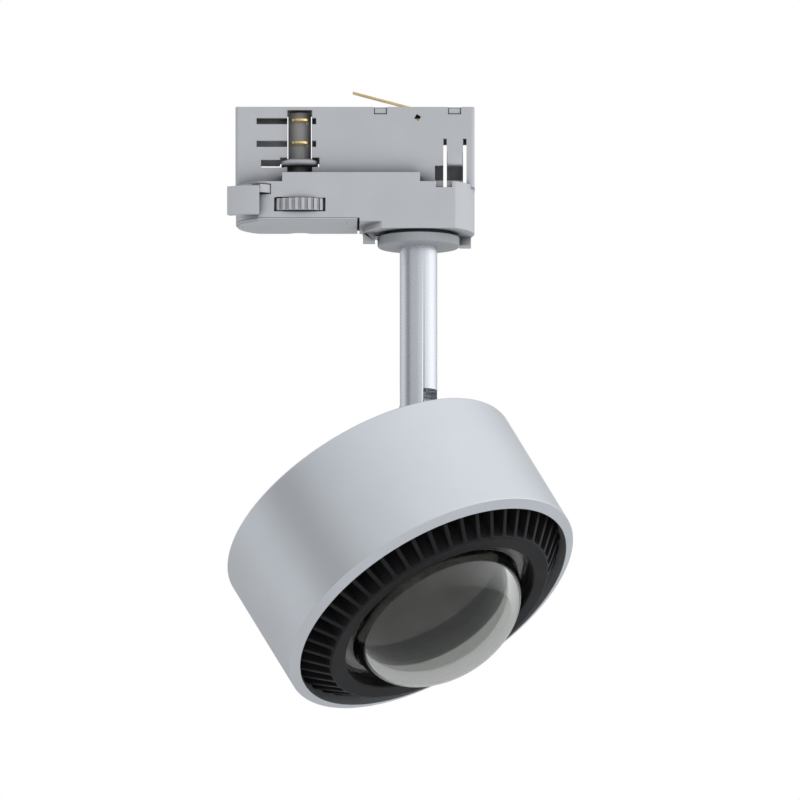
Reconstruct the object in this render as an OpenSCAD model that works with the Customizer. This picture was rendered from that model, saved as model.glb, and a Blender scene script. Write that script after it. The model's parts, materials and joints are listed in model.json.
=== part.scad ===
// Track spotlight: a drum head on an off-centre tilt hinge, hung on a short stem from a
// three-circuit track adapter.
// Millimetres, +Z up. X runs along the track. The origin is the centre of the adapter's
// insert, in the plane of its lower ledge, which seats against the underside of the track.
// The head is drawn aimed, tilted by rest_tilt and turned by rest_turn from +X.

/* [Adapter] */
// Length of the insert that goes into the track
insert_l = 102; // [98:0.5:124]
// Width of the insert
insert_w = 18; // [17:0.1:19]
// Height of the insert above the ledge
insert_h = 33.5; // [32.5:0.5:36]
// Width of the lower body
body_w = 36; // [34:0.5:42]
// Depth of the lower body below the ledge
body_h = 17.3; // [16.5:0.1:20]
// Wall thickness of the adapter's mouldings
wall = 1.6; // [1.2:0.1:1.8]
// Height of the raised part of the ledge
ledge_h = 3.9; // [3:0.1:4.5]
// Radius of the rounded nose
nose_r = 21.7; // [20:0.1:24]
// Distance from the insert's left end to the raised part of the ledge
ledge_left = 19.9; // [18:0.1:30]
// Distance from the insert's right end to the raised part of the ledge
ledge_right = 23.3; // [20:0.1:30]

/* [Selector and lock] */
// Distance from the insert's left end to the selector's axis
selector_inset = 27.4; // [26.5:0.1:29]
// Radius of the selector wheel over its ridges
wheel_r = 20.2; // [19.6:0.1:21.4]
// Thickness of the selector wheel
wheel_t = 5.2; // [4:0.1:5.6]
// Number of ridges on the selector wheel
wheel_ridges = 46; // [30:2:60]
// Radius of the contact shaft
shaft_r = 4.85; // [3.8:0.05:5.3]
// Reach of a line contact from the shaft's axis
contact_reach = 13; // [11:0.5:14]
// Radius of the lock collar
collar_r = 10.8; // [10.2:0.1:12]
// Teeth on each of the two lock gears
gear_teeth = 24; // [20:2:24]
// Module of the lock gears
gear_module = 0.8; // [0.7:0.05:0.8]

/* [Stem] */
// Distance from the insert's right end to the stem's axis
stem_inset = 23.9; // [23:0.1:25]
// Diameter of the stem
stem_d = 16; // [13.2:0.1:19.2]
// Length from the flange to the tilt pivot
stem_drop = 71.6; // [50:0.5:150]
// Radius of the flange under the adapter
flange_r = 17.5; // [14.5:0.5:18]
// Thickness of the flange
flange_t = 4.1; // [3:0.1:6]
// Diameter of the hollow nipple that carries the stem
nipple_d = 10; // [8.3:0.1:12]
// Width of the slot in the stem's end
slot_w = 10.2; // [9:0.1:11]
// Diameter of the hinge pin
pin_d = 5; // [4:0.5:6]

/* [Head] */
// Diameter of the drum
drum_d = 137; // [130:1:175]
// Depth of the drum, from its back face to the corner of its front rim
drum_h = 57; // [54:0.5:90]
// Wall thickness of the drum
drum_wall = 3; // [2:0.25:3.5]
// Distance from the drum's axis to the tilt pivot
pivot_offset = 42; // [30:1:44]
// Height of the tilt pivot behind the drum's back face
pivot_stand = 14.5; // [14:0.1:20]
// Tilt of the head from straight down
rest_tilt = 35; // [0:1:90]
// Turn of the head away from +X, towards the front
rest_turn = 36; // [-170:1:170]
// Number of cooling fins
fins = 48; // [24:4:60]
// Thickness of a cooling fin
fin_t = 1.9; // [1.2:0.1:2.4]
// Radius of the lens's dome where it leaves its flange
dome_r = 39.2; // [36:0.1:40.5]
// Height of the lens's dome
dome_h = 27.5; // [15:0.5:34]
// Thickness of the lens at the dome's foot
lens_wall = 5; // [3:0.5:8]
// Thickness of the lens at the dome's top
lens_tip_wall = 7; // [4:0.5:10]
// Radius of the opening that the lens shows through
lens_window_r = 45.2; // [43:0.1:46]

/* [Hidden] */
$fn = 96;

// Colours
plastic = [0.68, 0.69, 0.72];
silver = [0.74, 0.76, 0.79];
black = [0.08, 0.08, 0.08];
steel = [0.62, 0.62, 0.64];
gold = [0.80, 0.64, 0.30];

// Clearances
eps = 0.01;
fit_gap = 0.08;
slide_gap = 0.3;
seat_gap = 0.2;

// Adapter levels
ledge_t = 1.2;
base_t = 1.5;
base_z = -body_h;
base_top = base_z + base_t;
slit_w = 0.9;
web_top = 0.8;
lid_t = 1.2;
insert_half = insert_l / 2;
insert_y = insert_w / 2;
body_y = body_w / 2;
stem_x = insert_half - stem_inset;
selector_x = selector_inset - insert_half;
nose_x = nose_r - insert_half + 0.2;
ledge_x0 = ledge_left - insert_half;
ledge_x1 = insert_half - ledge_right;
base_end_x = stem_x - 26.1;
post_ys = [-12.5, 12.5];
post_x = base_end_x - 4.5;
nose_post_x = 3.2 - insert_half;

// Swivel block under the right end
block_drop = 3;
block_z = base_z - block_drop;
block_floor_t = 2.5;
bearing_t = 1.5;
flange_top = block_z - bearing_t;
flange_bottom = flange_top - flange_t;
pivot_z = flange_bottom - stem_drop;

// Lock lever and gears share one level, above the wheel
gear_r = gear_module * gear_teeth / 2;
lever_x = selector_x - 2 * gear_r;
lever_z0 = -5.1;
lever_z1 = -1.6;
wheel_z1 = -7.4;
wheel_z0 = wheel_z1 - wheel_t;
lever_bore_r = 2;
arm_r = 9.4;
arm_y = body_y + 2.5 - arm_r;
arm_reach = body_y + 3;
pin_head_r = 3.6;
pin_head_z = lever_z0 - 1.3;
flag_y = body_y + 0.6;
flag_t = 3;

// Sleeve, collar and contacts in the insert
shaft_gap = 0.4;
sleeve_wall = 0.85;
sleeve_in = shaft_r + fit_gap;
sleeve_out = sleeve_in + sleeve_wall;
collar_z0 = 8;
collar_z1 = 11;
collar_half = 7.8;
collar_sweep = max(collar_half, sqrt(pow(collar_r, 2) - pow(insert_y - wall, 2)));
contact_zs = [17.1, 26.9];
contact_t = 0.9;
contact_w = 8;
shaft_top = insert_h - lid_t - 0.7;
journal_r = 2;

// Terminals, and the hooks that hold the lid
strip_t = 0.6;
block_x0 = stem_x - 25.1;
terminal_pitch = 5.2;
terminal_xs = [for (i = [0:3]) block_x0 + 2.7 + terminal_pitch * i];
terminal_top = 15;
terminal_hole_r = 1.7;
hook_xs = [stem_x - 19, insert_half - 11.3];
hook_l = 5.5;

// Stem end
slot_top = pivot_z + 9.8;
stem_end = pivot_z - 7.5;
nipple_r = nipple_d / 2;
nipple_depth = 9;
cheek_y = slot_w / 2;
washer_t = 0.7;
tongue_half = cheek_y - washer_t - 0.1;
tongue_r = 7.6;

// Head levels, measured back from the corner of the front rim
drum_r = drum_d / 2;
shell_in = drum_r - drum_wall;
cover_t = 3;
rabbet = 1.3;
lip_in = drum_r - 4.9;
lip_out = 2.1;
mouth_r = drum_r - 4.5;
mouth_z = 8;
cover_r = shell_in + rabbet - seat_gap;
fin_out = mouth_r - slide_gap;
barrel_in = lens_window_r + 2;
barrel_r = barrel_in + 5.3;
sink_front = -8.2;
fin_back = 30;
fin_ring = 3;
lip_t = 4.4;
fin_tip_z = 3;
plate_z = 26;
plate_t = 6;
column_r = 4;
column_ring = barrel_r + column_r + 0.5;
lens_z = sink_front + lip_t;
flange_lens_t = 3;
gasket_t = 1.2;
clamp_t = 4;
led_z = plate_z - 1.6;
led_hole_r = 8.6;
led_screw_x = 16;
driver_z = plate_z + plate_t;
driver_h = 15;
driver_l = 70;
driver_w = 36;
driver_x = -12;
driver_screw_x = 31;
driver_foot_t = 2.5;
lead_r = 0.9;
lead_xs = [-2.5, 2.5];
lead_y = driver_w / 2 + 2.3;
lead_z = driver_z + 8;
bracket_t = 3;
bracket_z = drum_h - cover_t - bracket_t;
bracket_screw_x = 11;
screw_r = 1.5;

// Places children drawn about the drum's axis, with Z pointing out of its back
module head_frame() {
    translate([stem_x, 0, pivot_z])
        rotate([0, 0, -rest_turn])
        rotate([0, -rest_tilt, 0])
        translate([-pivot_offset, 0, -drum_h - pivot_stand])
        children();
}

// Places children drawn about the stem's axis, turned with the head
module stem_frame() {
    translate([stem_x, 0, 0]) rotate([0, 0, -rest_turn]) children();
}

// Countersunk screw whose head is flush at Z = 0 and whose thread points down
module countersunk(r, length) {
    difference() {
        union() {
            translate([0, 0, -length]) cylinder(r = r, h = length);
            translate([0, 0, -r]) cylinder(r1 = r, r2 = 2 * r, h = r);
        }
        translate([0, 0, -0.6 * r]) cylinder(r = 0.7 * r, h = r, $fn = 6);
    }
}

// The hole that a countersunk screw needs
module countersunk_hole(r, length) {
    translate([0, 0, -length]) cylinder(r = r, h = length + eps);
    translate([0, 0, -r]) cylinder(r1 = r, r2 = 2 * r + eps, h = r + eps);
}

// Pan-head screw whose head stands on Z = 0 and whose thread points down
module pan_screw(r, length) {
    difference() {
        union() {
            translate([0, 0, -length]) cylinder(r = r, h = length + eps);
            cylinder(r = 1.9 * r, h = 1.2 * r);
        }
        translate([0, 0, 0.6 * r]) cylinder(r = 0.8 * r, h = r, $fn = 6);
    }
}

// Flat ring from Z = 0 up
module ring(outer, inner, h) {
    difference() {
        cylinder(r = outer, h = h);
        translate([0, 0, -1]) cylinder(r = inner, h = h + 2);
    }
}

// Block with its four upright corners rounded, centred in X and Y
module rounded_block(l, w, h, r) {
    translate([-l / 2 + r, -w / 2, 0]) cube([l - 2 * r, w, h]);
    translate([-l / 2, -w / 2 + r, 0]) cube([l, w - 2 * r, h]);
    for (sx = [-1, 1], sy = [-1, 1])
        translate([sx * (l / 2 - r), sy * (w / 2 - r), 0]) cylinder(r = r, h = h);
}

// Box between two corners
module box(low, high) {
    translate(low) cube(high - low);
}

// Outline of the lower body, drawn in from its edge by inset
module body_outline(inset) {
    intersection() {
        union() {
            translate([nose_x, 0]) circle(r = nose_r - inset);
            translate([stem_x, 0]) circle(r = stem_inset - inset);
            translate([nose_x, -body_y]) square([stem_x - nose_x, body_w]);
        }
        translate([-insert_half - 5, -body_y + inset])
            square([insert_l + 10, body_w - 2 * inset]);
    }
}

// Outline of the swivel block, round about the stem
module block_outline(inset) {
    intersection() {
        translate([stem_x, 0]) circle(r = stem_inset - inset);
        translate([stem_x - 40, -body_y + inset]) square([80, body_w - 2 * inset]);
    }
}

// Slab of an outline between two levels
module slab(z0, z1) {
    translate([0, 0, z0]) linear_extrude(z1 - z0) children();
}

// Box through both long faces of the insert, placed along X from x0
module through_insert(x0, xs, zs) {
    box([x0 + xs[0], -insert_y - 1, zs[0]], [x0 + xs[1], insert_y + 1, zs[1]]);
}

// Openings in both long faces of the insert for the shaft, contacts and collar
module insert_windows() {
    through_insert(selector_x, [-shaft_r - shaft_gap, shaft_r + shaft_gap], [web_top, shaft_top + 0.4]);
    for (z = contact_zs)
        through_insert(selector_x, [-18.4, 7], [z - 0.9, z + 1.7]);
    through_insert(selector_x, [-16.5, -6.7], [7.3, 10.5]);
    through_insert(selector_x, [-collar_sweep - 0.5, collar_sweep + 0.5], [collar_z0 - 0.5, collar_z1 + 0.5]);
}

// Slots that free the snap tongue at the right end, on both long faces
module tongue_slots() {
    box([insert_half - 16.9, -insert_y - 1, 1.6], [insert_half - 3.5, insert_y - wall, 8.0]);
    for (x = [-13.3, -4.9])
        through_insert(insert_half + x, [0, 1.45], [-1.3, 19.7]);
    box([insert_half - 16.4, -body_y - 1, -2.6], [insert_half - 9.6, -insert_y, 1]);
}

// Wedge on the snap tongue
module tongue_wedge() {
    translate([insert_half - 11.6, -insert_y + wall / 2, 0])
        rotate([90, 0, 90])
        linear_extrude(6.4)
        polygon([[0, 8.2], [-wall / 2 - 1.4, 8.2], [-wall / 2 - 1.4, 9.6], [-wall / 2, 14.5], [0, 14.5]]);
}

// Notches for the lid's hooks
module lid_notches() {
    for (x = hook_xs, s = [-1, 1])
        translate([x, s * (insert_y - wall / 2) - wall / 2 - 0.05, insert_h - 3.2])
            cube([hook_l, wall + 0.1, 3.2]);
}

// Path that the lever's arm sweeps through the nose
module lever_path() {
    slab(lever_z0 - 0.4, -ledge_t) {
        intersection() {
            translate([lever_x, 0]) circle(r = arm_reach);
            translate([lever_x - arm_reach, -arm_reach]) square([arm_reach + 6, arm_reach + 11]);
        }
        translate([lever_x, -arm_y]) circle(r = arm_r + slide_gap);
    }
}

module adapter_housing() {
    color(plastic) difference() {
        union() {
            translate([0, 0, -ledge_t]) rounded_block(insert_l, insert_w, insert_h + ledge_t, 1.5);
            difference() {
                slab(base_top, 0) body_outline(0);
                slab(base_top - 1, -ledge_t) body_outline(wall);
            }
            difference() {
                slab(base_z, base_top + wall) body_outline(0);
                box([-80, -40, base_z - 1], [base_end_x + slit_w, 40, 0]);
                slab(base_z + wall, base_top + 3) body_outline(wall);
            }
            difference() {
                slab(block_z, base_top) block_outline(0);
                slab(block_z + block_floor_t, base_top + 1) block_outline(wall);
            }
            intersection() {
                slab(0, ledge_h) body_outline(0);
                box([ledge_x0, -40, -1], [ledge_x1, 40, 20]);
            }
            // Posts that the base cover is screwed to
            for (y = post_ys)
                translate([post_x, y, base_top]) cylinder(r = 2.6, h = -ledge_t - base_top);
            translate([nose_post_x, 0, base_top]) cylinder(r = 2.2, h = pin_head_z - 0.4 - base_top);
            // Lugs that guard the flange
            box([stem_x - 23.7, -5, block_z - 3.7], [stem_x - 18.6, 3, block_z + 1]);
            box([stem_x + 17.3, 6, block_z - 3.9], [stem_x + 22.4, 14, block_z + 1]);
            tongue_wedge();
            mirror([0, 1, 0]) tongue_wedge();
        }
        // Inside of the insert, above its floor web
        translate([0, 0, web_top])
            rounded_block(insert_l - 2 * wall, insert_w - 2 * wall, insert_h, 0.8);
        // Inside of the lower body over the swivel
        slab(block_z + block_floor_t, -ledge_t) block_outline(wall);
        slab(base_z + wall, -ledge_t) intersection() {
            body_outline(wall);
            translate([base_end_x + slit_w + wall, -40]) square(80);
        }
        insert_windows();
        tongue_slots();
        lid_notches();
        lever_path();
        // Bearings for the lock sleeve, the lever's pin and the swivel
        translate([selector_x, 0, -ledge_t - 1]) cylinder(r = sleeve_out + fit_gap, h = 4);
        translate([lever_x, 0, -ledge_t - 1]) cylinder(r = lever_bore_r, h = 4);
        translate([stem_x, 0, block_z - 1]) cylinder(r = nipple_r + fit_gap, h = 5);
        // Hole for the leads from the insert to the swivel
        translate([stem_x, 0, -ledge_t - 1]) cylinder(r = 4, h = 4);
        // Room for the selector wheel, open through both long faces
        translate([selector_x, 0, wheel_z0 - 0.4]) cylinder(r = wheel_r + 0.4, h = wheel_t + 0.8);
        box([selector_x - 10.9, -body_y - 1, wheel_z0 - 0.4],
            [selector_x + 10.9, body_y + 1, wheel_z1 + 0.3]);
        // Sight hole in the front face
        translate([stem_x - 0.4, -insert_y + wall + 1, 28.9]) rotate([90, 33, 0])
            translate([-1.05, -1.05, 0]) cube([2.1, 2.1, wall + 2]);
        // Threads for the base cover's screws
        base_screw_places() translate([0, 0, -1]) cylinder(r = 0.9, h = 8);
    }
}

module base_screw_places() {
    for (y = post_ys)
        translate([post_x, y, base_z]) children();
    translate([nose_post_x, 0, base_z]) children();
}

module adapter_lid() {
    rib_y = insert_y - wall - 1.2;
    color(plastic) difference() {
        union() {
            translate([0, 0, insert_h - lid_t])
                rounded_block(insert_l - 2 * wall - seat_gap, insert_w - 2 * wall - seat_gap, lid_t, 0.7);
            for (x = hook_xs)
                box([x + seat_gap, -insert_y + 0.5, insert_h - 2.9],
                    [x + hook_l - seat_gap, insert_y - 0.5, insert_h - 0.6]);
        }
        // The hooks stand on ribs, so the middle is cleared
        box([hook_xs[0] - 8, -rib_y, insert_h - 5], [hook_xs[1] + 20, rib_y, insert_h - lid_t]);
        // Slot that the earth contact rises through
        box([earth_x - 4, -3.5, insert_h - 3], [earth_x + 8.5, 3.5, insert_h + 1]);
    }
}

scoop_h = 0.4;
scoop_r = 28.4;
module base_cover() {
    color(plastic) difference() {
        union() {
            difference() {
                slab(base_z, base_top) body_outline(0);
                difference() {
                    slab(base_z - 1, base_z + 0.7) body_outline(-1);
                    slab(base_z - 1.01, base_z + 0.71) body_outline(0.7);
                }
            }
            translate([selector_x, 0, base_top - eps])
                cylinder(r = 4.5, h = wheel_z0 - 0.3 - base_top);
        }
        box([base_end_x, -40, base_z - 1], [80, 40, 0]);
        translate([selector_x, 0, base_top - 0.6]) cylinder(r = journal_r + fit_gap, h = 5);
        base_screw_places() rotate([180, 0, 0]) countersunk_hole(1.0, 4);
        // Shallow scoop in the rear edge, under the wheel
        translate([selector_x, body_y + 1, base_z + scoop_h - scoop_r])
            rotate([90, 0, 0]) cylinder(r = scoop_r, h = 4, $fn = 360);
    }
}

module base_screws() {
    color(steel) base_screw_places() rotate([180, 0, 0]) countersunk(0.9, 6);
}

module terminal_block() {
    color([0.86, 0.86, 0.84]) difference() {
        box([block_x0, -6, web_top], [block_x0 + 21, 6, terminal_top]);
        for (x = terminal_xs) {
            translate([x, 0, terminal_top - 8]) cylinder(r = terminal_hole_r, h = 9);
            translate([x, 7, 5]) rotate([90, 0, 0]) cylinder(r = 1.2, h = 14);
        }
    }
}

module terminal_screws() {
    color(steel)
        for (x = terminal_xs)
            translate([x, 0, terminal_top - 8]) difference() {
                cylinder(r = 1.6, h = 6.5);
                translate([-2, -0.3, 5.7]) cube([4, 0.6, 2]);
            }
}

// Sprung brass strips from the contact shaft to the terminals
module bus_strips() {
    color(gold)
        for (i = [0:1]) {
            x = block_x0 - 10.6 + 3.2 * i;
            z0 = 3.5 + 3 * i;
            z1 = contact_zs[i] - 2.6;
            box([selector_x + shaft_r + shaft_gap, -3.5, z1], [x + strip_t, 3.5, z1 + strip_t]);
            box([x, -3.5, z0], [x + strip_t, 3.5, z1 + strip_t]);
            box([x, -3.5, z0], [block_x0, 3.5, z0 + strip_t]);
        }
}

module lever_pin() {
    color(steel) {
        translate([lever_x, 0, lever_z0 - 0.5]) cylinder(r = lever_bore_r, h = web_top - lever_z0 + 1.2);
        translate([lever_x, 0, pin_head_z]) cylinder(r = pin_head_r, h = 1);
        translate([lever_x, 0, web_top]) cylinder(r = 3.2, h = 0.9);
    }
}

// Involute gear outline. Angles are in degrees.
base_r = gear_r * cos(20);
function involute(a) = tan(a) * 180 / PI - a;
function flank(radius) = 90 / gear_teeth - 0.45 + involute(20) - involute(acos(base_r / radius));

module gear_tooth() {
    tip_r = gear_r + 0.9 * gear_module;
    steps = 5;
    radii = [for (i = [0:steps]) base_r + (tip_r - base_r) * i / steps];
    polygon(concat(
        [[0, 0]],
        [for (r = radii) [r * cos(flank(r)), -r * sin(flank(r))]],
        [for (i = [steps:-1:0]) [radii[i] * cos(flank(radii[i])), radii[i] * sin(flank(radii[i]))]]
    ));
}

module lock_lever() {
    root_r = gear_r - 1.2 * gear_module;
    pitch = 360 / gear_teeth;
    color(plastic) translate([lever_x, 0, 0]) {
        slab(lever_z0, lever_z1) difference() {
            union() {
                circle(r = 5.6);
                intersection() {
                    circle(r = root_r);
                    polygon([[0, 0], [20, -9], [20, 20], [-6, 20]]);
                }
                for (a = [-pitch:pitch:7 * pitch])
                    rotate(a) gear_tooth();
                intersection() {
                    translate([0, -arm_y]) circle(r = arm_r);
                    translate([-8, -40]) square([40, 40]);
                }
            }
            circle(r = lever_bore_r + fit_gap);
        }
        // Thumb flag, folded about the nose
        slab(-14.7, -2.4)
            polygon([
                [2, -flag_y], [2, -flag_y - flag_t], [-5, -flag_y - flag_t],
                [-11.8, -flag_y + 0.1], [-10.5, -flag_y + 3], [-4.3, -flag_y]
            ]);
    }
}

module lock_sleeve() {
    color(plastic) translate([selector_x, 0, 0]) difference() {
        union() {
            slab(lever_z0, lever_z1) {
                circle(r = gear_r - 1.2 * gear_module);
                for (i = [0:gear_teeth - 1])
                    rotate((i + 0.5) * 360 / gear_teeth) gear_tooth();
            }
            translate([0, 0, lever_z0]) cylinder(r = sleeve_out, h = collar_z1 - lever_z0);
            intersection() {
                union() {
                    translate([0, 0, collar_z0]) cylinder(r1 = collar_r - 1, r2 = collar_r, h = 1);
                    translate([0, 0, collar_z0 + 1]) cylinder(r = collar_r, h = 1);
                    translate([0, 0, collar_z0 + 2]) cylinder(r1 = collar_r, r2 = collar_r - 1, h = 1);
                }
                box([-collar_half, -20, 0], [collar_half, 20, 20]);
            }
        }
        translate([0, 0, lever_z0 - 1]) cylinder(r = sleeve_in, h = 30);
    }
}

module selector_wheel() {
    color(plastic) translate([selector_x, 0, wheel_z0]) difference() {
        union() {
            cylinder(r = wheel_r - 0.7, h = wheel_t);
            for (i = [0:wheel_ridges - 1])
                rotate(i * 360 / wheel_ridges)
                    translate([wheel_r - 1.4, -0.7, 0]) cube([1.4, 1.4, wheel_t]);
        }
        translate([0, 0, -1]) cylinder(r = shaft_r, h = wheel_t + 2);
        for (i = [0:5])
            rotate(i * 60) translate([11.5, 0, -1]) cylinder(r = 3.6, h = wheel_t + 2);
    }
}

module contact_shaft() {
    color([0.60, 0.60, 0.62]) translate([selector_x, 0, 0]) {
        translate([0, 0, wheel_z0]) cylinder(r = shaft_r, h = shaft_top - wheel_z0);
        translate([0, 0, base_top - 0.4]) cylinder(r = journal_r, h = wheel_z0 - base_top + 0.5);
        // Blocks that carry the free side of each contact
        for (z = contact_zs)
            box([2.4, -shaft_r - 1.2, z - 0.6], [3.8, 0, z]);
    }
}

module line_contacts() {
    color(gold) translate([selector_x, 0, 0])
        for (z = contact_zs) slab(z, z + contact_t) difference() {
            union() {
                translate([0, -contact_reach + contact_w / 2]) circle(r = contact_w / 2);
                translate([-contact_w / 2, -contact_reach + contact_w / 2])
                    square([contact_w, contact_reach - contact_w / 2]);
            }
            circle(r = shaft_r);
        }
}

earth_x = stem_x - 2.6;
earth_z = insert_h - 0.15;
earth_rise = 15;
anchor_z = insert_h - lid_t - 3;
earth_pin_r = 0.35;
earth_eye_r = 0.95;
earth_t = 0.6;
anchor_end_x = earth_x + 6.7;
module earth_contact() {
    color(gold) translate([earth_x, 0, earth_z]) rotate([0, earth_rise, 0]) difference() {
        union() {
            box([-26.5, -2.5, earth_eye_r - earth_t], [0, 2.5, earth_eye_r]);
            translate([0, 2.5, 0]) rotate([90, 0, 0]) cylinder(r = earth_eye_r, h = 5);
        }
        translate([0, 3, 0]) rotate([90, 0, 0]) cylinder(r = earth_pin_r + fit_gap, h = 6);
        box([-24, -0.6, -1], [-12, 0.6, 2]);
    }
}

// Fixed end of the earth contact, with the pin that the blade's rolled eye turns on
module earth_anchor() {
    color(gold) {
        for (s = [-1, 1])
            translate([earth_x, s * 2.95 + 0.25, 0]) {
                translate([0, 0, earth_z]) rotate([90, 0, 0]) cylinder(r = 0.7, h = 0.5);
                translate([-0.7, -0.5, anchor_z]) cube([1.4, 0.5, earth_z - anchor_z]);
            }
        translate([earth_x, 3, earth_z]) rotate([90, 0, 0]) cylinder(r = earth_pin_r, h = 6);
        box([earth_x - 0.7, -3.2, anchor_z - earth_t], [anchor_end_x, 3.2, anchor_z]);
        box([anchor_end_x - earth_t, -2.5, terminal_top], [anchor_end_x, 2.5, anchor_z]);
        // The foot lies on the terminal block, with a hole over the end screw
        difference() {
            box([terminal_xs[3] - 2.6, -2.5, terminal_top], [anchor_end_x, 2.5, terminal_top + earth_t]);
            translate([terminal_xs[3], 0, terminal_top - 1]) cylinder(r = terminal_hole_r, h = earth_t + 2);
        }
    }
}

module bearing_washer() {
    color(black) translate([stem_x, 0, flange_top + 0.05])
        ring(flange_r - 3, nipple_r + fit_gap, bearing_t - 0.1);
}

module swivel_flange() {
    color(plastic) translate([stem_x, 0, flange_bottom]) difference() {
        union() {
            cylinder(r1 = flange_r - 0.5, r2 = flange_r, h = 0.5);
            translate([0, 0, 0.5]) cylinder(r = flange_r, h = flange_t - 0.5);
        }
        translate([0, 0, -1]) cylinder(r = nipple_r, h = flange_t + 2);
    }
}

module swivel_nipple() {
    color(steel) translate([stem_x, 0, flange_bottom - nipple_depth])
        ring(nipple_r, nipple_r - 1.8, nipple_depth + flange_t + bearing_t + block_floor_t + 8);
}

module friction_washer() {
    color(steel) translate([stem_x, 0, block_z + block_floor_t + 0.05])
        ring(nipple_r + 5, nipple_r, 0.95);
}

module swivel_nut() {
    color(steel) translate([stem_x, 0, block_z + block_floor_t + 1]) difference() {
        cylinder(r = nipple_r + 4.2, h = 5, $fn = 6);
        translate([0, 0, -1]) cylinder(r = nipple_r, h = 7);
    }
}

module stem_tube() {
    color(silver) difference() {
        translate([stem_x, 0, stem_end]) cylinder(d = stem_d, h = flange_bottom - stem_end);
        translate([stem_x, 0, stem_end - 1]) cylinder(r = 3.2, h = 200);
        translate([stem_x, 0, flange_bottom - nipple_depth - 1]) cylinder(r = nipple_r, h = 20);
        stem_frame() {
            box([-20, -cheek_y, stem_end - 1], [20, cheek_y, slot_top]);
            translate([0, 20, pivot_z]) rotate([90, 0, 0]) cylinder(d = pin_d, h = 40);
        }
    }
}

pin_half = stem_d / 2 - 0.45;
module hinge_pin() {
    color(steel) stem_frame()
        translate([0, pin_half, pivot_z]) rotate([90, 0, 0]) cylinder(d = pin_d, h = 2 * pin_half);
}

module hinge_washers() {
    color([0.85, 0.85, 0.82]) stem_frame()
        for (s = [-1, 1])
            translate([0, s * (tongue_half + 0.05 + washer_t / 2), pivot_z])
                rotate([90, 0, 0]) translate([0, 0, -washer_t / 2]) ring(6.4, pin_d / 2, washer_t);
}

module hinge_bracket() {
    top = drum_h + pivot_stand;
    color(silver) head_frame() translate([pivot_offset, 0, 0]) difference() {
        union() {
            translate([0, 0, bracket_z]) rounded_block(31, 24, bracket_t, 3);
            box([-tongue_r, -tongue_half, bracket_z], [tongue_r, tongue_half, top]);
            translate([0, tongue_half, top]) rotate([90, 0, 0]) cylinder(r = tongue_r, h = 2 * tongue_half);
        }
        translate([0, 20, top]) rotate([90, 0, 0]) cylinder(r = pin_d / 2 + fit_gap, h = 40);
        for (s = [-1, 1])
            translate([s * bracket_screw_x, 0, bracket_z - 1]) cylinder(r = screw_r, h = 10);
    }
}

module bracket_screws() {
    color(steel) head_frame()
        for (s = [-1, 1])
            translate([pivot_offset + s * bracket_screw_x, 0, drum_h])
                countersunk(screw_r, cover_t + bracket_t);
}

module head_shell() {
    color(silver) head_frame() rotate_extrude() polygon([
        [drum_r, 0], [drum_r, drum_h - 0.4], [drum_r - 0.4, drum_h],
        [shell_in + rabbet, drum_h], [shell_in + rabbet, drum_h - cover_t],
        [shell_in, drum_h - cover_t], [shell_in, mouth_z], [mouth_r, mouth_z],
        [mouth_r, -lip_out + 0.6], [lip_in + 0.1, -lip_out], [lip_in + 0.6, -lip_out]
    ]);
}

module column_places() {
    for (a = [45:90:315])
        rotate(a) translate([column_ring, 0, 0]) children();
}

module back_cover() {
    color(silver) head_frame() difference() {
        translate([0, 0, drum_h - cover_t]) cylinder(r = cover_r, h = cover_t);
        // Vent slots, left out where the bracket and the columns are
        for (a = [0:7.5:359])
            if (min(abs(a - 180), 180) < 150 && abs((a % 90) - 45) > 7)
                rotate(a) {
                    box([38, -1.3, drum_h - 5], [60, 1.3, drum_h + 1]);
                    for (x = [38, 60])
                        translate([x, 0, drum_h - 5]) cylinder(r = 1.3, h = 6);
                }
        translate([pivot_offset, 0, 0])
            box([-tongue_r - slide_gap, -tongue_half - slide_gap, drum_h - 5],
                [tongue_r + slide_gap, tongue_half + slide_gap, drum_h + 1]);
        for (s = [-1, 1])
            translate([pivot_offset + s * bracket_screw_x, 0, drum_h]) countersunk_hole(screw_r, 6);
        column_places() translate([0, 0, drum_h]) countersunk_hole(screw_r, 6);
    }
}

module cover_screws() {
    color(black) head_frame() column_places() translate([0, 0, drum_h]) countersunk(screw_r, 12);
}

// One cooling fin, standing on the XZ plane
module fin() {
    translate([0, fin_t / 2, 0]) rotate([90, 0, 0]) linear_extrude(fin_t)
        polygon([
            [barrel_r - 0.8, sink_front + 0.1], [barrel_r + 0.2, sink_front + 0.5],
            [fin_out, fin_tip_z], [fin_out, fin_back],
            [barrel_r - 0.8, fin_back]
        ]);
}

// Holes for the leads through the plate and the board
module lead_holes(r) {
    for (x = lead_xs)
        translate([x, -lead_y, led_z - 1]) cylinder(r = r, h = driver_z - led_z + 2);
}

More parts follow.
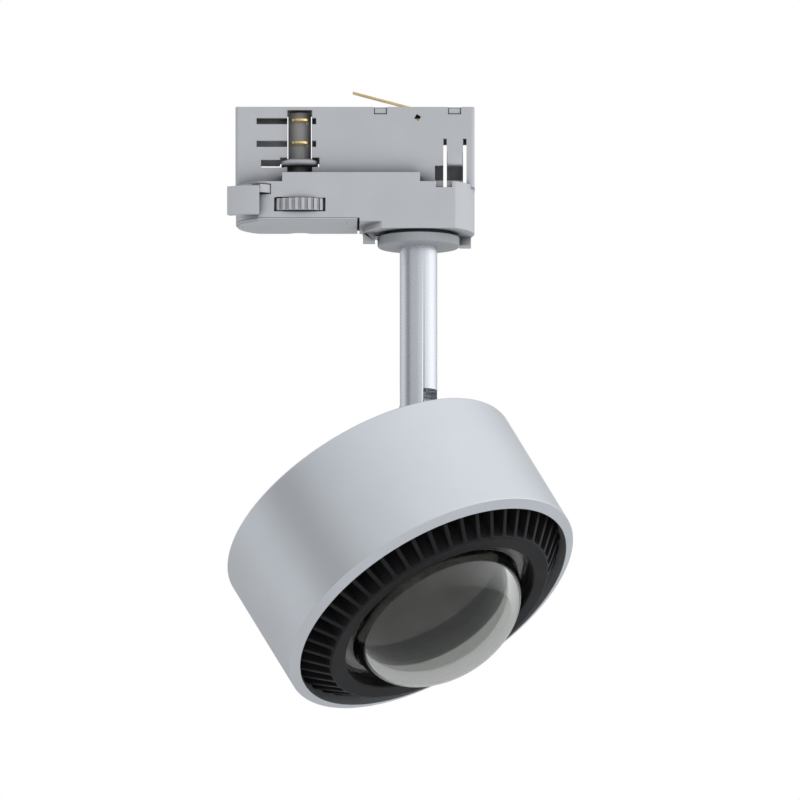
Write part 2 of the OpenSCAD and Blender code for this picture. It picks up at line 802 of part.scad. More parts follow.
module heat_sink() {
    color(black) head_frame() difference() {
        union() {
            rotate_extrude() polygon([
                [lens_window_r, lens_z], [lens_window_r, sink_front + 0.6],
                [lens_window_r + 0.6, sink_front], [barrel_r - 0.8, sink_front],
                [barrel_r, sink_front + 0.8], [barrel_r, plate_z + plate_t],
                [0, plate_z + plate_t], [0, plate_z], [barrel_in, plate_z], [barrel_in, lens_z]
            ]);
            for (i = [0:fins - 1])
                rotate((i + 0.4) * 360 / fins) fin();
            translate([0, 0, mouth_z + 0.05]) ring(shell_in - slide_gap, fin_out - 2, fin_ring);
            column_places() translate([0, 0, mouth_z + 1])
                cylinder(r = column_r, h = drum_h - cover_t - mouth_z - 1);
        }
        column_places() translate([0, 0, drum_h - 13]) cylinder(r = screw_r, h = 20);
        for (s = [-1, 1]) {
            translate([s * led_screw_x, 0, plate_z - 1]) cylinder(r = 1.2, h = 5);
            translate([driver_x + s * driver_screw_x, 0, plate_z + 3]) cylinder(r = 1.2, h = 5);
        }
        lead_holes(lead_r + 0.4);
    }
}

// Glass lens: a flange and a thick-walled dome, each outline a quarter ellipse
module lens() {
    lens_back = lens_z + flange_lens_t;
    hollow_h = flange_lens_t + dome_h - lens_tip_wall;
    hollow = [for (a = [90:-6:0]) [(dome_r - lens_wall) * cos(a), lens_back - hollow_h * sin(a)]];
    dome = [for (a = [0:6:90]) [dome_r * cos(a), lens_z - dome_h * sin(a)]];
    flange = [
        [barrel_in - seat_gap, lens_back], [barrel_in - seat_gap, lens_z],
        [lens_window_r - 0.6, lens_z], [dome_r + 1.5, lens_z]
    ];
    color([0.75, 0.80, 0.80, 0.5]) head_frame() rotate_extrude() polygon(concat(hollow, flange, dome));
}

module lens_gasket() {
    color([0.25, 0.25, 0.25]) head_frame() translate([0, 0, lens_z + flange_lens_t])
        ring(barrel_in - seat_gap, barrel_in - 3.2, gasket_t);
}

module lens_clamp_ring() {
    color(black) head_frame() translate([0, 0, lens_z + flange_lens_t + gasket_t])
        ring(barrel_in, barrel_in - 3.7, clamp_t);
}

module reflector() {
    z0 = lens_z + flange_lens_t + 0.4;
    z1 = led_z - 3.4;
    color(silver) head_frame() rotate_extrude() polygon([
        [42.8, z0], [42.8, z0 + 1], [41, z0 + 1.6], [27, z0 + 12],
        [11, z1], [10, z1], [26, z0 + 11.4], [40.2, z0 + 1], [40.2, z0]
    ]);
}

module led_holder() {
    color(black) head_frame() translate([0, 0, led_z - 3]) difference() {
        cylinder(r = led_screw_x + 2.8, h = 3);
        translate([0, 0, -1]) cylinder(r = led_hole_r, h = 6);
        for (s = [-1, 1])
            translate([s * led_screw_x, 0, -1]) cylinder(r = 1.3, h = 6);
    }
}

module led_holder_screws() {
    color(steel) head_frame()
        for (s = [-1, 1])
            translate([s * led_screw_x, 0, led_z - 3]) rotate([180, 0, 0]) pan_screw(1.2, 7.5);
}

module led_emitter() {
    color([0.95, 0.85, 0.35]) head_frame() translate([0, 0, led_z - 1.4])
        cylinder(r = led_hole_r - 0.4, h = 1.4);
}

module led_board() {
    color([0.92, 0.92, 0.90]) head_frame() difference() {
        translate([0, 0, led_z]) cylinder(r = lead_y + 2.7, h = plate_z - led_z);
        for (s = [-1, 1])
            translate([s * led_screw_x, 0, led_z - 1]) cylinder(r = 1.3, h = 6);
        lead_holes(lead_r + fit_gap);
    }
}

module driver_module() {
    color([0.90, 0.90, 0.88]) head_frame() translate([driver_x, 0, driver_z]) difference() {
        union() {
            rounded_block(driver_l - 14, driver_w, driver_h, 2);
            rounded_block(driver_l, driver_w - 14, driver_foot_t, 2);
        }
        for (s = [-1, 1])
            translate([s * driver_screw_x, 0, -1]) cylinder(r = 1.3, h = 5);
    }
}

module driver_screws() {
    color(steel) head_frame()
        for (s = [-1, 1])
            translate([driver_x + s * driver_screw_x, 0, driver_z + driver_foot_t]) pan_screw(1.2, 5);
}

// Pair of leads from the driver's side, down through the plate to the board
module driver_leads() {
    color([0.75, 0.10, 0.10]) head_frame()
        for (x = lead_xs)
            translate([x, -lead_y, 0]) {
                translate([0, 0, led_z + seat_gap]) cylinder(r = lead_r, h = lead_z - led_z - seat_gap);
                translate([0, 0, lead_z]) sphere(r = lead_r);
                translate([0, lead_y - driver_w / 2, lead_z]) rotate([90, 0, 0])
                    cylinder(r = lead_r, h = lead_y - driver_w / 2);
            }
}

adapter_housing();
adapter_lid();
base_cover();
base_screws();
terminal_block();
terminal_screws();
bus_strips();
lever_pin();
lock_lever();
lock_sleeve();
selector_wheel();
contact_shaft();
line_contacts();
earth_contact();
earth_anchor();
bearing_washer();
swivel_flange();
swivel_nipple();
friction_washer();
swivel_nut();
stem_tube();
hinge_pin();
hinge_washers();
hinge_bracket();
bracket_screws();
head_shell();
back_cover();
cover_screws();
heat_sink();
lens();
lens_gasket();
lens_clamp_ring();
reflector();
led_holder();
led_holder_screws();
led_emitter();
led_board();
driver_module();
driver_screws();
driver_leads();
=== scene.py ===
"""Looks of the track spotlight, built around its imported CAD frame.

Metres, in the frame's own axes: X along the track, +Z up, the origin at the track's underside.
The head is drawn in its own axes, with Z out of the drum's back, and placed by head_matrix.
"""

import json
import math

import bmesh
import bpy
from mathutils import Matrix, Vector

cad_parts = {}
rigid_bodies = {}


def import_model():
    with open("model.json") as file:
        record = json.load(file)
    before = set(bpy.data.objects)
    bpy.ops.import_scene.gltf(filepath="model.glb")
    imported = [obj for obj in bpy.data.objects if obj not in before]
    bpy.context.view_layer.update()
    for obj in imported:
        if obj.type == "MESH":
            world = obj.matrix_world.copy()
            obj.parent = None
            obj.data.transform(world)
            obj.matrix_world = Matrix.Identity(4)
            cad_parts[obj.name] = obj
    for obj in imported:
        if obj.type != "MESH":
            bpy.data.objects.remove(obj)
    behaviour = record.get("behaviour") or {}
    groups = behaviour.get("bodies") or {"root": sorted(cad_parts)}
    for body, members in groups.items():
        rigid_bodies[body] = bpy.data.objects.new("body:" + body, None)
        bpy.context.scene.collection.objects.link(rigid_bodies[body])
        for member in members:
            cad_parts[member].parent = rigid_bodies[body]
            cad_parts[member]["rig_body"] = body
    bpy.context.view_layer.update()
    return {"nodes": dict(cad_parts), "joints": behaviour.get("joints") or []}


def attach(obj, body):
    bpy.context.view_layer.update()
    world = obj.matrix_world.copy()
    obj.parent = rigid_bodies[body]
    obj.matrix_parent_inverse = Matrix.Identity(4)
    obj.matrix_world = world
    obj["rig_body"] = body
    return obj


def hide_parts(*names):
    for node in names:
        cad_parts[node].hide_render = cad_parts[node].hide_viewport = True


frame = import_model()

MM = 0.001
NODES = frame["nodes"]
JOINTS = {j["name"]: j for j in frame["joints"]}

# Sizes of the head, as the part's source gives them, in millimetres
DRUM_R, DRUM_H, DRUM_WALL = 68.5, 57.0, 3.0
PIVOT_OFFSET, PIVOT_STAND = 42.0, 14.5
REST_TILT, REST_TURN = 35.0, 36.0
MOUTH_R, MOUTH_Z = 64.0, 8.0
LIP_DEPTH = 2.1
FINS, FIN_T, FIN_OUT = 48, 1.9, 63.7
FIN_PHASE = 0.4
FIN_TIP_Z, FIN_BACK = 3.0, 30.0
BARREL_R, BARREL_IN = 52.5, 47.2
SINK_FRONT, PLATE_Z, PLATE_T = -8.2, 26.0, 6.0
WINDOW_R = 45.2
LENS_Z, LENS_FLANGE_T = -3.8, 3.0
DOME_R, DOME_H = 39.2, 27.5
LENS_WALL, LENS_TIP_WALL = 5.0, 7.0
COLUMN_R, COLUMN_RING = 4.0, 57.0
COVER_T = 3.0
RING_T, RING_GAP = 3.0, 0.3
# How far a fin's root flares on each side, and the rounding of its front edges
FIN_ROOT, FIN_EDGE = 1.1, 0.42
# The reflector: radii of its rim, of the bend in its wall and of its narrow end
CONE_RIM_R, CONE_BEND_R, CONE_END_R = 42.8, 27.0, 11.0
# Its gap behind the lens, and the height and rounding of the bend
CONE_GAP, CONE_BEND_Z, CONE_BEND_FILLET = 0.4, 12.0, 8.0
# From the LED plate's face to the end of the reflector
CONE_STAND_OFF = 5.0


# ---------------------------------------------------------------- frames

def head_matrix():
    """Places the head's own axes in the row frame, at rest."""
    pivot = Vector(JOINTS["head_tilt"]["pos_m"])
    return (
        Matrix.Translation(pivot)
        @ Matrix.Rotation(math.radians(-REST_TURN), 4, "Z")
        @ Matrix.Rotation(math.radians(-REST_TILT), 4, "Y")
        @ Matrix.Translation(Vector((-PIVOT_OFFSET, 0, -DRUM_H - PIVOT_STAND)) * MM)
    )


HEAD = head_matrix()


# ---------------------------------------------------------------- materials

def shader(name):
    """A new material with one Principled shader, and its node tree's parts."""
    mat = bpy.data.materials.new(name)
    mat.use_nodes = True
    nodes, links = mat.node_tree.nodes, mat.node_tree.links
    nodes.clear()
    out = nodes.new("ShaderNodeOutputMaterial")
    bsdf = nodes.new("ShaderNodeBsdfPrincipled")
    links.new(bsdf.outputs["BSDF"], out.inputs["Surface"])
    return mat, nodes, links, bsdf


def noise(nodes, links, coords, scale, detail=3.0, stretch=None):
    """A noise texture over the object's own coordinates; scale is per metre."""
    source = coords.outputs["Object"]
    if stretch:
        mapping = nodes.new("ShaderNodeMapping")
        mapping.inputs["Scale"].default_value = stretch
        links.new(source, mapping.inputs["Vector"])
        source = mapping.outputs["Vector"]
    tex = nodes.new("ShaderNodeTexNoise")
    tex.inputs["Scale"].default_value = scale
    tex.inputs["Detail"].default_value = detail
    links.new(source, tex.inputs["Vector"])
    return tex.outputs["Fac"]


def spread(nodes, links, value, low, high, start=0.3, end=0.7):
    """Maps start..end of a value, by default the middle of a noise's range, to low..high."""
    node = nodes.new("ShaderNodeMapRange")
    node.inputs["From Min"].default_value = start
    node.inputs["From Max"].default_value = end
    node.inputs["To Min"].default_value = low
    node.inputs["To Max"].default_value = high
    links.new(value, node.inputs["Value"])
    return node.outputs["Result"]


def surface(
    name, dark, light, rough, metal=0.0, patch=45.0, grain=2600.0, bump=0.06,
    depth=2e-5, rough_by=0.05, stretch=None, ior=None, painted_shade_reach=0.0, shade=0.0,
):
    """A procedural finish: mottled colour, and a fine grain that varies the roughness and serves as bump.

    With a reach in metres, the colour takes painted shade from ambient occlusion: it darkens in narrow gaps
    and hollows and under ledges, down to shade times itself.
    """
    mat, nodes, links, bsdf = shader(name)
    coords = nodes.new("ShaderNodeTexCoord")
    mottle = noise(nodes, links, coords, patch, 4.0, stretch)
    ramp = nodes.new("ShaderNodeValToRGB")
    ramp.color_ramp.elements[0].position = 0.3
    ramp.color_ramp.elements[0].color = (*dark, 1)
    ramp.color_ramp.elements[1].position = 0.7
    ramp.color_ramp.elements[1].color = (*light, 1)
    links.new(mottle, ramp.inputs["Fac"])
    colour = ramp.outputs["Color"]
    # Painted shade: ambient occlusion darkens the base colour in narrow gaps, hollows and under ledges
    if painted_shade_reach:
        closed = nodes.new("ShaderNodeAmbientOcclusion")
        closed.inputs["Distance"].default_value = painted_shade_reach
        closed.samples = 8
        painted_shade_mix = nodes.new("ShaderNodeMix")
        painted_shade_mix.data_type = "RGBA"
        painted_shade_mix.blend_type = "MULTIPLY"
        painted_shade_mix.inputs["Factor"].default_value = 1.0
        painted_shade_factor = spread(nodes, links, closed.outputs["AO"], shade, 1.0, 0.35, 0.9)
        links.new(colour, painted_shade_mix.inputs["A"])
        links.new(painted_shade_factor, painted_shade_mix.inputs["B"])
        colour = painted_shade_mix.outputs["Result"]
    links.new(colour, bsdf.inputs["Base Color"])
    fine = noise(nodes, links, coords, grain, 2.0, stretch)
    links.new(
        spread(nodes, links, fine, rough - rough_by, rough + rough_by),
        bsdf.inputs["Roughness"],
    )
    relief = nodes.new("ShaderNodeBump")
    relief.inputs["Strength"].default_value = bump
    relief.inputs["Distance"].default_value = depth
    links.new(fine, relief.inputs["Height"])
    links.new(relief.outputs["Normal"], bsdf.inputs["Normal"])
    bsdf.inputs["Metallic"].default_value = metal
    if ior:
        bsdf.inputs["IOR"].default_value = ior
    return mat


def glass(name, tint, ior):
    """Clear pressed glass with a faint ripple and a few specks of dust."""
    mat, nodes, links, bsdf = shader(name)
    coords = nodes.new("ShaderNodeTexCoord")
    bsdf.inputs["Base Color"].default_value = (*tint, 1)
    bsdf.inputs["Transmission Weight"].default_value = 1.0
    bsdf.inputs["IOR"].default_value = ior
    dust = noise(nodes, links, coords, 900.0, 3.0)
    links.new(spread(nodes, links, dust, 0.0, 0.02), bsdf.inputs["Roughness"])
    ripple = noise(nodes, links, coords, 25.0, 0.0)
    relief = nodes.new("ShaderNodeBump")
    relief.inputs["Strength"].default_value = 0.15
    relief.inputs["Distance"].default_value = 2e-4
    links.new(ripple, relief.inputs["Height"])
    links.new(relief.outputs["Normal"], bsdf.inputs["Normal"])
    return mat


MATERIALS = {
    # The adapter's plastic carries painted shade: ambient occlusion darkens it in narrow gaps and under the
    # ledge, down to a tenth of its colour
    "adapter_plastic": surface(
        "adapter_plastic", (0.45, 0.46, 0.483), (0.48, 0.49, 0.513), 0.5, grain=5200, bump=0.12,
        painted_shade_reach=0.008, shade=0.1,
    ),
    "shaft_plastic": surface(
        "shaft_plastic", (0.36, 0.365, 0.38), (0.41, 0.415, 0.43), 0.42, grain=5200, bump=0.1
    ),
    "terminal_plastic": surface(
        "terminal_plastic", (0.66, 0.66, 0.63), (0.73, 0.73, 0.70), 0.45
    ),
    "brass": surface(
        "brass", (0.78, 0.55, 0.24), (0.90, 0.68, 0.34), 0.24, metal=1.0, patch=300,
        stretch=(1, 9, 9), grain=1500,
    ),
    "steel": surface(
        "steel", (0.52, 0.52, 0.53), (0.63, 0.63, 0.64), 0.3, metal=1.0, patch=200, grain=3000
    ),
    "flange_paint": surface(
        "flange_paint", (0.29, 0.30, 0.318), (0.32, 0.33, 0.348), 0.42, grain=4200, bump=0.1
    ),
    "washer_plastic": surface(
        "washer_plastic", (0.03, 0.03, 0.032), (0.05, 0.05, 0.052), 0.5
    ),
    "nylon": surface("nylon", (0.70, 0.70, 0.66), (0.78, 0.78, 0.74), 0.4),
    "silver_paint": surface(
        "silver_paint", (0.575, 0.60, 0.635), (0.605, 0.63, 0.665), 0.36, metal=0.72,
        patch=30, grain=6500, bump=0.08, rough_by=0.03,
    ),
    "stem_metal": surface(
        "stem_metal", (0.59, 0.61, 0.65), (0.63, 0.65, 0.69), 0.27, metal=0.85,
        patch=60, grain=6000, bump=0.02, depth=3e-6, rough_by=0.015, stretch=(1, 1, 0.15),
    ),
    "black_metal": surface(
        "black_metal", (0.007, 0.007, 0.0078), (0.011, 0.011, 0.012), 0.46, patch=80,
        grain=4800, bump=0.2, depth=3e-5, ior=1.26,
    ),
    "black_screw": surface(
        "black_screw", (0.02, 0.02, 0.02), (0.04, 0.04, 0.04), 0.35, metal=0.6
    ),
    "glass": glass("glass", (0.56, 0.565, 0.54), 1.47),
    "gasket": surface("gasket", (0.03, 0.03, 0.03), (0.05, 0.05, 0.05), 0.7),
    "reflector_metal": surface(
        "reflector_metal", (0.13, 0.13, 0.125), (0.20, 0.20, 0.19), 0.12, metal=1.0,
        patch=120, grain=900, bump=0.15, depth=6e-5,
    ),
    "led_plastic": surface("led_plastic", (0.22, 0.22, 0.21), (0.28, 0.28, 0.27), 0.5),
    # Greyish cream phosphor; its dark value is painted shade, for the shadow it sits in behind the lens
    "phosphor": surface(
        "phosphor", (0.26, 0.25, 0.20), (0.32, 0.31, 0.24), 0.5, patch=600
    ),
    "board": surface("board", (0.30, 0.30, 0.29), (0.36, 0.36, 0.35), 0.4),
    "driver_case": surface("driver_case", (0.68, 0.68, 0.66), (0.76, 0.76, 0.74), 0.45),
    "lead": surface("lead", (0.42, 0.03, 0.03), (0.52, 0.05, 0.05), 0.4),
}


# ---------------------------------------------------------------- meshes

def piece(name, bm, body, slot, nodes=(), smooth_deg=35.0, weighted=True, turned=True):
    """Turns a bmesh into a piece that rides on body, has the finish of slot and stands for nodes.

    With turned, its faces are first turned to face outwards.
    """
    mesh = bpy.data.meshes.new(name)
    if turned:
        bmesh.ops.recalc_face_normals(bm, faces=bm.faces)
    bm.to_mesh(mesh)
    bm.free()
    mesh.shade_smooth()
    mesh.set_sharp_from_angle(angle=math.radians(smooth_deg))
    obj = bpy.data.objects.new(name, mesh)
    bpy.context.scene.collection.objects.link(obj)
    mesh.materials.append(MATERIALS[slot])
    if weighted:
        modifier = obj.modifiers.new("normals", "WEIGHTED_NORMAL")
        modifier.keep_sharp = True
    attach(obj, body)
    if nodes:
        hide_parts(*nodes)
    return obj


def fillet(corners, steps=4):
    """Outline through corners (x, y, radius), in order, each rounded by its radius."""
    points = []
    for i, (x, y, radius) in enumerate(corners):
        corner = Vector((x, y))
        if radius <= 0:
            points.append(corner)
            continue
        before = (Vector(corners[i - 1][:2]) - corner).normalized()
        after = (Vector(corners[(i + 1) % len(corners)][:2]) - corner).normalized()
        half = before.angle(after) / 2
        centre = corner + (before + after).normalized() * radius / math.sin(half)
        start = corner + before * radius / math.tan(half) - centre
        end = corner + after * radius / math.tan(half) - centre
        for k in range(steps + 1):
            points.append(centre + start.slerp(end, k / steps).normalized() * radius)
    return points


def lathe(bm, outline, segments=192, matrix=HEAD, closed=True):
    """Adds an outline of (radius, height) points, in millimetres, turned about the Z axis of matrix."""
    rings = []
    for r, z in outline:
        if r < 1e-6:
            rings.append([bm.verts.new(matrix @ (Vector((0, 0, z)) * MM))])
            continue
        turn = [2 * math.pi * i / segments for i in range(segments)]
        rings.append(
            [bm.verts.new(matrix @ (Vector((r * math.cos(a), r * math.sin(a), z)) * MM)) for a in turn]
        )
    pairs = list(zip(rings, rings[1:] + rings[:1])) if closed else list(zip(rings, rings[1:]))
    for one, two in pairs:
        if len(one) == 1 and len(two) == 1:
            continue
        for i in range(segments):
            j = (i + 1) % segments
            if len(one) == 1:
                bm.faces.new((one[0], two[i], two[j]))
            elif len(two) == 1:
                bm.faces.new((one[i], two[0], one[j]))
            else:
                bm.faces.new((one[i], two[i], two[j], one[j]))


# Only edges longer than this, in millimetres, and turning more than this, in degrees, are rounded
ROUNDED_LENGTH, ROUNDED_TURN = 0.9, 28.0


def refine(node, slot, width, sharp_box=None):
    """A copy of a CAD node with its longer edges rounded by width, in millimetres, standing for it.

    Edges with their middle inside sharp_box, two corners in millimetres, are left sharp.
    """
    bm = bmesh.new()
    bm.from_mesh(NODES[node].data)
    bmesh.ops.remove_doubles(bm, verts=bm.verts, dist=1e-6)
    bmesh.ops.dissolve_limit(
        bm, angle_limit=math.radians(0.5), verts=bm.verts, edges=bm.edges, delimit={"NORMAL"}
    )
    def wanted(edge):
        if len(edge.link_faces) != 2 or edge.calc_length() <= ROUNDED_LENGTH * MM:
            return False
        if sharp_box:
            middle = (edge.verts[0].co + edge.verts[1].co) / 2 / MM
            if all(low < v < high for low, v, high in zip(sharp_box[0], middle, sharp_box[1])):
                return False
        return edge.calc_face_angle(0) > math.radians(ROUNDED_TURN)

    edges = [e for e in bm.edges if wanted(e)]
    if edges:
        bmesh.ops.bevel(
            bm, geom=edges, offset=width * MM, offset_type="OFFSET", segments=2,
            profile=0.5, affect="EDGES", clamp_overlap=False,
        )
    body = NODES[node]["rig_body"]
    return piece(node + "_look", bm, body, slot, (node,), turned=False)


# ---------------------------------------------------------------- the head

def drum():
    """The drum's turned shell, with a soft edge at the rim and a fine one at the back."""
    wall_in = DRUM_R - DRUM_WALL
    bm = bmesh.new()
    lathe(bm, fillet([
        (DRUM_R, 0, 0.5), (DRUM_R, DRUM_H, 0.8), (wall_in + 1.3, DRUM_H, 0.2),
        (wall_in + 1.3, DRUM_H - COVER_T, 0), (wall_in, DRUM_H - COVER_T, 0),
        (wall_in, MOUTH_Z, 0), (MOUTH_R, MOUTH_Z, 0.3), (MOUTH_R, -LIP_DEPTH, 0.25),
        (MOUTH_R + 0.25, -LIP_DEPTH, 0.05),
    ]), segments=256)
    piece("drum_shell", bm, "head", "silver_paint", ("head_shell",), smooth_deg=50)


def fin_section(r):
    """Half the width of a fin at radius r, flared into the barrel at its root."""
    s = r - BARREL_R
    if s <= 0:
        return FIN_T / 2 + FIN_ROOT
    if s >= FIN_ROOT:
        return FIN_T / 2
    return FIN_T / 2 + FIN_ROOT - math.sqrt(FIN_ROOT * FIN_ROOT - (FIN_ROOT - s) ** 2)


def fin_front(r):
    """Level of a fin's front edge at radius r."""
    inner, start = BARREL_R + 0.1, SINK_FRONT + 0.45
    if r <= inner:
        return start
    return start + (FIN_TIP_Z - start) * (r - inner) / (FIN_OUT - inner)


def heat_sink():
    """The black casting behind the lens: a barrel and its plate, fins, a ring and four columns."""
    bm = bmesh.new()
    lathe(bm, fillet([
        (WINDOW_R, LENS_Z, 0), (WINDOW_R, SINK_FRONT, 0.8), (BARREL_R, SINK_FRONT, 0.9),
        (BARREL_R, PLATE_Z + PLATE_T, 0), (0, PLATE_Z + PLATE_T, 0), (0, PLATE_Z, 0),
        (BARREL_IN, PLATE_Z, 0), (BARREL_IN, LENS_Z, 0),
    ]), segments=192)
    inner, outer = FIN_OUT - 2, DRUM_R - DRUM_WALL - RING_GAP
    low, high = MOUTH_Z + 0.05, MOUTH_Z + 0.05 + RING_T
    lathe(bm, [(inner, low), (outer, low), (outer, high), (inner, high)])
    piece("heat_sink_barrel", bm, "head", "black_metal", ("heat_sink",))

    bm = bmesh.new()
    stations = [BARREL_R - 0.6, BARREL_R + 0.02, BARREL_R + 0.12, BARREL_R + 0.3, BARREL_R + 0.6,
                BARREL_R + 1.1, BARREL_R + 4.5, FIN_OUT - 3.5, FIN_OUT - 0.35, FIN_OUT - 0.1, FIN_OUT]
    for i in range(FINS):
        place = HEAD @ Matrix.Rotation(2 * math.pi * (i + FIN_PHASE) / FINS, 4, "Z")
        rings = []
        for r in stations:
            half = fin_section(r) - (0.3 if r == FIN_OUT else 0.1 if r == FIN_OUT - 0.1 else 0)
            top = fin_front(r)
            arc = [math.radians(a) for a in (0, 30, 60, 90)]
            right = [
                (half - FIN_EDGE + FIN_EDGE * math.cos(a), top + FIN_EDGE - FIN_EDGE * math.sin(a))
                for a in arc
            ]
            left = [(-y, z) for y, z in reversed(right)]
            section = [(half, FIN_BACK)] + right + left + [(-half, FIN_BACK)]
            rings.append([bm.verts.new(place @ (Vector((r, y, z)) * MM)) for y, z in section])
        for one, two in zip(rings, rings[1:]):
            for k in range(len(one)):
                m = (k + 1) % len(one)
                bm.faces.new((one[k], one[m], two[m], two[k]))
        bm.faces.new(rings[0])
        bm.faces.new(rings[-1])
    piece("heat_sink_fins", bm, "head", "black_metal")

    bm = bmesh.new()
    for k in range(4):
        place = HEAD @ Matrix.Rotation(math.radians(45 + 90 * k), 4, "Z")
        place = place @ Matrix.Translation(Vector((COLUMN_RING, 0, 0)) * MM)
        lathe(bm, fillet([
            (0, MOUTH_Z + 1, 0), (COLUMN_R, MOUTH_Z + 1, 0.3), (COLUMN_R, DRUM_H - COVER_T, 0.3),
            (0, DRUM_H - COVER_T, 0),
        ]), segments=40, matrix=place)
    piece("heat_sink_columns", bm, "head", "black_metal")


def lens():
    """The pressed glass lens: a thick-walled dome, hollow behind, on a flat flange."""
    back = LENS_Z + LENS_FLANGE_T
    rim = BARREL_IN - 0.2
    hollow_r, hollow_h = DOME_R - LENS_WALL, LENS_FLANGE_T + DOME_H - LENS_TIP_WALL
    turns = [math.radians(2.5 * k) for k in range(1, 36)]
    dome = [(DOME_R * math.cos(a), LENS_Z - DOME_H * math.sin(a)) for a in turns]
    hollow = [(hollow_r * math.cos(a), back - hollow_h * math.sin(a)) for a in turns]
    foot = fillet([
        hollow[0] + (0,), (hollow_r, back, 0.3), (rim, back, 0.4), (rim, LENS_Z, 0.4),
        (DOME_R + 0.4, LENS_Z, 0.5), dome[0] + (0,),
    ])[1:-1]
    tips = [(0, back - hollow_h)], [(0, LENS_Z - DOME_H)]
    bm = bmesh.new()
    lathe(bm, tips[0] + hollow[::-1] + foot + dome + tips[1], segments=192, closed=False)
    piece("lens_glass", bm, "head", "glass", ("lens",), smooth_deg=40, weighted=False)


def reflector():
    """The bright cone that gathers the light behind the lens."""
    z0 = LENS_Z + LENS_FLANGE_T + CONE_GAP
    z1 = PLATE_Z - CONE_STAND_OFF
    bend, rim_in = CONE_BEND_FILLET, CONE_RIM_R - 2.6
    bm = bmesh.new()
    lathe(bm, fillet([
        (CONE_RIM_R, z0, 0), (CONE_RIM_R, z0 + 1, 0), (CONE_RIM_R - 1.8, z0 + 1.6, 0.4),
        (CONE_BEND_R, z0 + CONE_BEND_Z, bend), (CONE_END_R, z1, 0), (CONE_END_R - 1, z1, 0),
        (CONE_BEND_R - 1, z0 + CONE_BEND_Z - 0.6, bend), (rim_in, z0 + 1, 0.3), (rim_in, z0, 0),
    ]), segments=192)
    piece("reflector_cone", bm, "head", "reflector_metal", ("reflector",), smooth_deg=50)


drum()
heat_sink()
lens()
reflector()

# ---------------------------------------------------------------- adapter, stem and small pieces

# The snap tongue's slots pass too close to its wedges for rounded edges there
TONGUE = (37.0, -12.0, -2.0), (48.0, 12.0, 20.5)
refine("adapter_housing", "adapter_plastic", 0.22, sharp_box=TONGUE)

for node, slot, width in [
    ("adapter_lid", "adapter_plastic", 0.2),
    ("base_cover", "adapter_plastic", 0.25),
    ("lock_lever", "adapter_plastic", 0.1),
    ("lock_sleeve", "adapter_plastic", 0.1),
    ("selector_wheel", "adapter_plastic", 0.15),
    ("contact_shaft", "shaft_plastic", 0.2),
    ("line_contacts", "brass", 0.15),
    ("earth_contact", "brass", 0.1),
    ("swivel_flange", "flange_paint", 0.3),
    ("stem_tube", "stem_metal", 0.25),
    ("hinge_bracket", "silver_paint", 0.3),
    ("back_cover", "silver_paint", 0.25),
    ("terminal_block", "terminal_plastic", 0.3),
    ("driver_module", "driver_case", 0.4),
    ("lens_clamp_ring", "black_metal", 0.3),
    ("led_holder", "led_plastic", 0.3),
    ("swivel_nut", "steel", 0.3),
]:
    refine(node, slot, width)

for node, slot in [
    ("base_screws", "steel"), ("terminal_screws", "steel"), ("bus_strips", "brass"),
    ("lever_pin", "steel"), ("earth_anchor", "brass"), ("bearing_washer", "washer_plastic"),
    ("swivel_nipple", "steel"), ("friction_washer", "steel"), ("hinge_pin", "steel"),
    ("hinge_washers", "nylon"), ("bracket_screws", "steel"), ("cover_screws", "black_screw"),
    ("lens_gasket", "gasket"), ("led_holder_screws", "steel"), ("led_emitter", "phosphor"),
    ("led_board", "board"), ("driver_screws", "steel"), ("driver_leads", "lead"),
]:
    for material_slot in NODES[node].material_slots:
        material_slot.material = MATERIALS[slot]


# ---------------------------------------------------------------- stage, light and camera

FLOOR_Z = -0.8


def floor():
    """A wide pale floor, well under the hanging part."""
    bm = bmesh.new()
    bmesh.ops.create_circle(bm, cap_ends=True, radius=6.0, segments=96)
    bmesh.ops.translate(bm, verts=bm.verts, vec=(0, 0, FLOOR_Z))
    mesh = bpy.data.meshes.new("floor")
    bm.to_mesh(mesh)
    bm.free()
    mesh.materials.append(
        surface("floor", (0.61, 0.61, 0.61), (0.64, 0.64, 0.64), 0.8, patch=3, grain=60, bump=0.02)
    )
    obj = bpy.data.objects.new("floor", mesh)
    bpy.context.scene.collection.objects.link(obj)


def toward(azimuth, elevation):
    """Direction at an azimuth to the right of the front, -Y, and an elevation, in degrees."""
    a, e = math.radians(azimuth), math.radians(elevation)
    return Vector((math.sin(a) * math.cos(e), -math.cos(a) * math.cos(e), math.sin(e)))


# Soft boxes round the studio: azimuth, elevation, half width, half height, brightness
SOFT_BOXES = [
    (92, 15, 34, 25, 1.12),
    (-110, 0, 15, 22, 0.42),
    (-68, 8, 10, 17, -0.50),
    (160, 26, 22, 22, -0.42),
    (72, -38, 20, 16, 0.85),
    (-15, 75, 40, 30, 0.12),
]


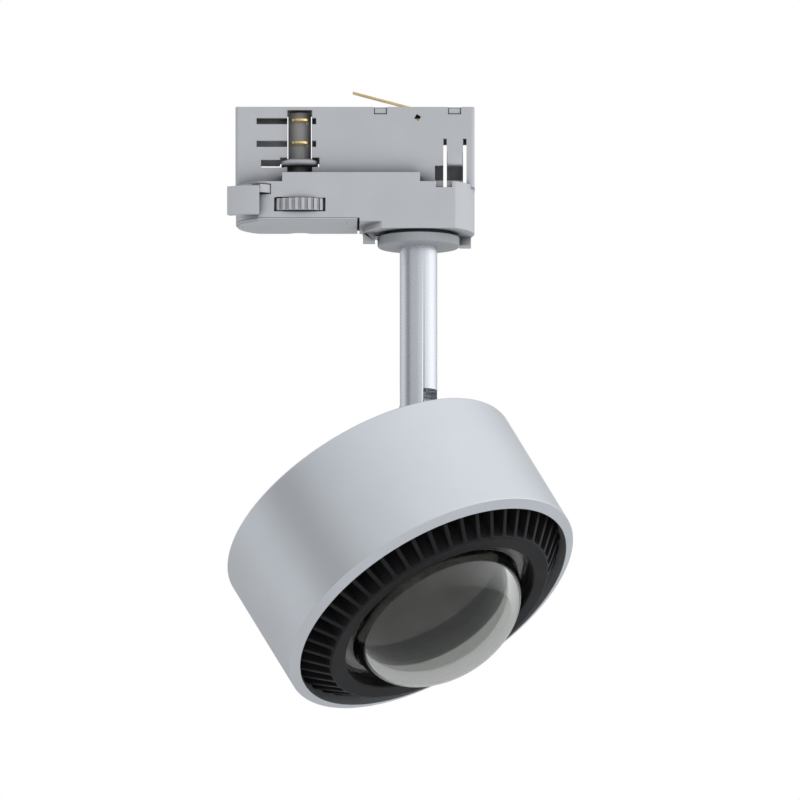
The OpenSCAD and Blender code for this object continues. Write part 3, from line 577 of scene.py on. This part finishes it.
def studio():
    """A pale room with a few soft boxes, and plain white where the camera looks past the part."""
    world = bpy.data.worlds.new("studio")
    bpy.context.scene.world = world
    world.use_nodes = True
    nodes, links = world.node_tree.nodes, world.node_tree.links
    nodes.clear()

    def math_node(kind, a, b=None):
        node = nodes.new("ShaderNodeMath")
        node.operation = kind
        for socket, value in zip(node.inputs, (a, b)):
            if value is None:
                continue
            if isinstance(value, (int, float)):
                socket.default_value = value
            else:
                links.new(value, socket)
        return node.outputs["Value"]

    def along(axis):
        node = nodes.new("ShaderNodeVectorMath")
        node.operation = "DOT_PRODUCT"
        links.new(coords.outputs["Generated"], node.inputs[0])
        node.inputs[1].default_value = axis
        return node.outputs["Value"]

    coords = nodes.new("ShaderNodeTexCoord")
    height = nodes.new("ShaderNodeMapRange")
    height.interpolation_type = "SMOOTHSTEP"
    height.inputs["From Min"].default_value = -0.1
    height.inputs["From Max"].default_value = 0.8
    height.inputs["To Min"].default_value = 0.58
    height.inputs["To Max"].default_value = 0.82
    links.new(along((0, 0, 1)), height.inputs["Value"])
    total = height.outputs["Result"]
    for azimuth, elevation, width, tall, brightness in SOFT_BOXES:
        centre = toward(azimuth, elevation)
        across = along(toward(azimuth + 90, 0) / math.sin(math.radians(width)))
        up = along(toward(azimuth, elevation + 90) / math.sin(math.radians(tall)))
        spot = math_node("ADD", math_node("MULTIPLY", across, across), math_node("MULTIPLY", up, up))
        spot = math_node("POWER", math.e, math_node("MULTIPLY", spot, -0.5))
        front = math_node("GREATER_THAN", along(centre), 0.0)
        total = math_node("ADD", total, math_node("MULTIPLY", math_node("MULTIPLY", spot, front), brightness))
    light = nodes.new("ShaderNodeBackground")
    light.inputs["Color"].default_value = (0.97, 0.985, 1.0, 1)
    links.new(total, light.inputs["Strength"])
    plain = nodes.new("ShaderNodeBackground")
    plain.inputs["Color"].default_value = (1, 1, 1, 1)
    path = nodes.new("ShaderNodeLightPath")
    mix = nodes.new("ShaderNodeMixShader")
    out = nodes.new("ShaderNodeOutputWorld")
    links.new(path.outputs["Is Camera Ray"], mix.inputs["Fac"])
    links.new(light.outputs["Background"], mix.inputs[1])
    links.new(plain.outputs["Background"], mix.inputs[2])
    links.new(mix.outputs["Shader"], out.inputs["Surface"])


LAMP_PLACE, LAMP_AIM = Vector((0.25, -0.70, -0.62)), Vector((0.02, 0, -0.05))
LAMP_WIDTH, LAMP_DEPTH, LAMP_WATTS = 1.3, 0.5, 3.3


def low_light():
    """A soft lamp low in front, aimed up at the part."""
    data = bpy.data.lights.new("low_light", "AREA")
    data.shape = "RECTANGLE"
    data.size, data.size_y = LAMP_WIDTH, LAMP_DEPTH
    data.energy = LAMP_WATTS
    data.color = (0.98, 0.99, 1.0)
    obj = bpy.data.objects.new("low_light", data)
    bpy.context.scene.collection.objects.link(obj)
    obj.location = LAMP_PLACE
    obj.rotation_mode = "QUATERNION"
    obj.rotation_quaternion = (LAMP_AIM - LAMP_PLACE).to_track_quat("-Z", "Y")
    obj.visible_camera = False
    obj.visible_glossy = False
    obj.visible_transmission = False


# The camera's rise in degrees, the width it takes in, and the middle of its view, in metres
VIEW_RISE, VIEW_WIDTH, VIEW_MIDDLE, VIEW_DISTANCE = 9.0, 0.3413, (0.0192, 0, -0.09175), 1.2


def camera():
    """Looks along +Y and a little up, without perspective, from under the track."""
    data = bpy.data.cameras.new("camera")
    data.type = "ORTHO"
    data.ortho_scale = VIEW_WIDTH
    data.clip_start, data.clip_end = 0.01, 20.0
    data.dof.use_dof = False
    obj = bpy.data.objects.new("camera", data)
    bpy.context.scene.collection.objects.link(obj)
    rise = math.radians(VIEW_RISE)
    look = Vector((0, math.cos(rise), math.sin(rise)))
    obj.location = Vector(VIEW_MIDDLE) - look * VIEW_DISTANCE
    obj.rotation_mode = "QUATERNION"
    obj.rotation_quaternion = look.to_track_quat("-Z", "Y")
    bpy.context.scene.camera = obj


floor()
studio()
low_light()
camera()
bpy.context.scene.view_settings.view_transform = "Standard"
bpy.context.scene.view_settings.look = "None"
